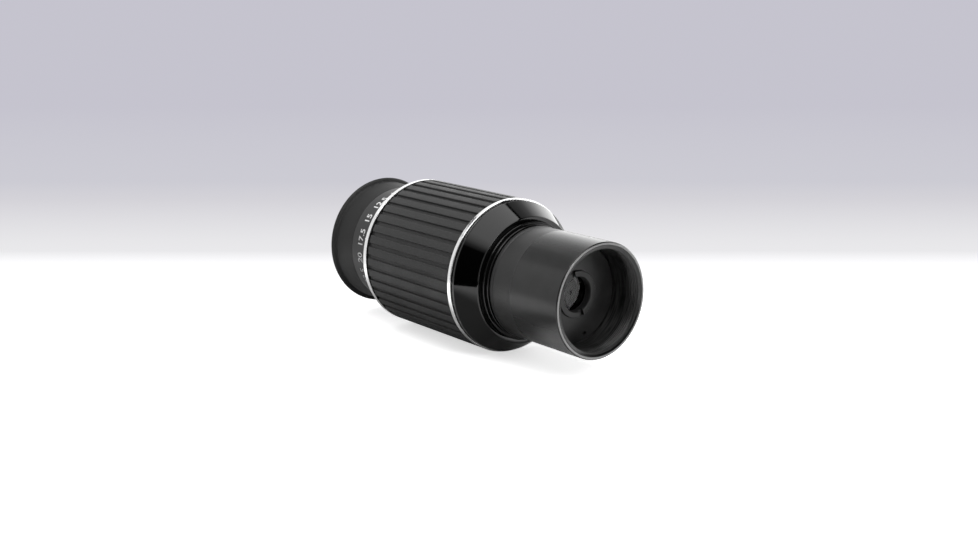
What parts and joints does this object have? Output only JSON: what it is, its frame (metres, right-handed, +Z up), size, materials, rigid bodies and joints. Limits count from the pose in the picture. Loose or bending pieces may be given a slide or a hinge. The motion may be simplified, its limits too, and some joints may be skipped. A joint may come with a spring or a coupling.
{
  "type": "telescope zoom eyepiece",
  "caption": "Zoom eyepiece: a barrel slides into a telescope's focuser, and a ribbed ring turns to move two lens groups and change the magnification.",
  "frame": {"origin": "on the optical axis, at the shoulder end of the barrel", "axes": "+X along the optical axis, out through the barrel's mouth into the telescope; -X towards the eye; +Z up as the eyepiece lies on a table"},
  "size_m": [0.1017, 0.0444, 0.0444],
  "materials": {
    "satin_black_aluminium": "satin black anodised",
    "gloss_black_aluminium": "gloss black anodised",
    "inner_aluminium": "matt black anodised",
    "brass": "machined",
    "bright_aluminium": "bright turned",
    "steel": "ground",
    "washer_plastic": "plain",
    "grip_rubber": "satin moulded rubber",
    "collar_black": "satin black anodised, white figures",
    "eyecup_rubber": "matt soft rubber",
    "optical_glass": "coated optical glass"
  },
  "bodies": {
    "housing": {"nose_barrel": "satin_black_aluminium", "shoulder_housing": "gloss_black_aluminium", "guide_tube": "inner_aluminium", "front_thrust_washer": "washer_plastic", "rear_thrust_washer": "washer_plastic", "keeper_ring": "inner_aluminium", "click_ball": "steel", "click_spring": "steel", "eye_collar": "collar_black", "collar_screws": "steel", "eyecup": "eyecup_rubber", "eye_cell": "inner_aluminium", "eye_doublet_flint": "optical_glass", "eye_doublet_crown": "optical_glass", "eye_spacer": "inner_aluminium", "eye_lens": "optical_glass", "eye_retaining_ring": "inner_aluminium"},
    "zoom_ring": {"cam_sleeve": "brass", "zoom_sleeve": "inner_aluminium", "drive_screws": "steel", "front_trim_ring": "bright_aluminium", "rear_trim_ring": "bright_aluminium", "rubber_grip": "grip_rubber"},
    "field_group": {"field_cell": "inner_aluminium", "field_retaining_ring": "inner_aluminium", "field_lens_front": "optical_glass", "field_lens_rear": "optical_glass", "field_carriage": "inner_aluminium", "field_stop": "inner_aluminium", "field_follower_pins": "steel"},
    "middle_group": {"middle_carriage": "inner_aluminium", "middle_doublet_crown": "optical_glass", "middle_doublet_flint": "optical_glass", "middle_retaining_ring": "inner_aluminium", "middle_follower_pins": "steel"}
  },
  "joints": [
    {"name": "zoom_turn", "type": "hinge", "parent": "housing", "child": "zoom_ring", "pos_m": [0, 0, 0], "axis": [1, 0, 0], "range_deg": [0, 120]},
    {"name": "field_slide", "type": "slide", "parent": "housing", "child": "field_group", "axis": [1, 0, 0], "range_m": [-0.01101, 0]},
    {"name": "middle_slide", "type": "slide", "parent": "housing", "child": "middle_group", "axis": [1, 0, 0], "range_m": [0, 0.00601]}
  ],
  "couplings": [
    {"joint": "field_slide", "follows": "zoom_turn", "m_per_rad": -0.0052521},
    {"joint": "middle_slide", "follows": "zoom_turn", "m_per_rad": 0.0028648}
  ]
}
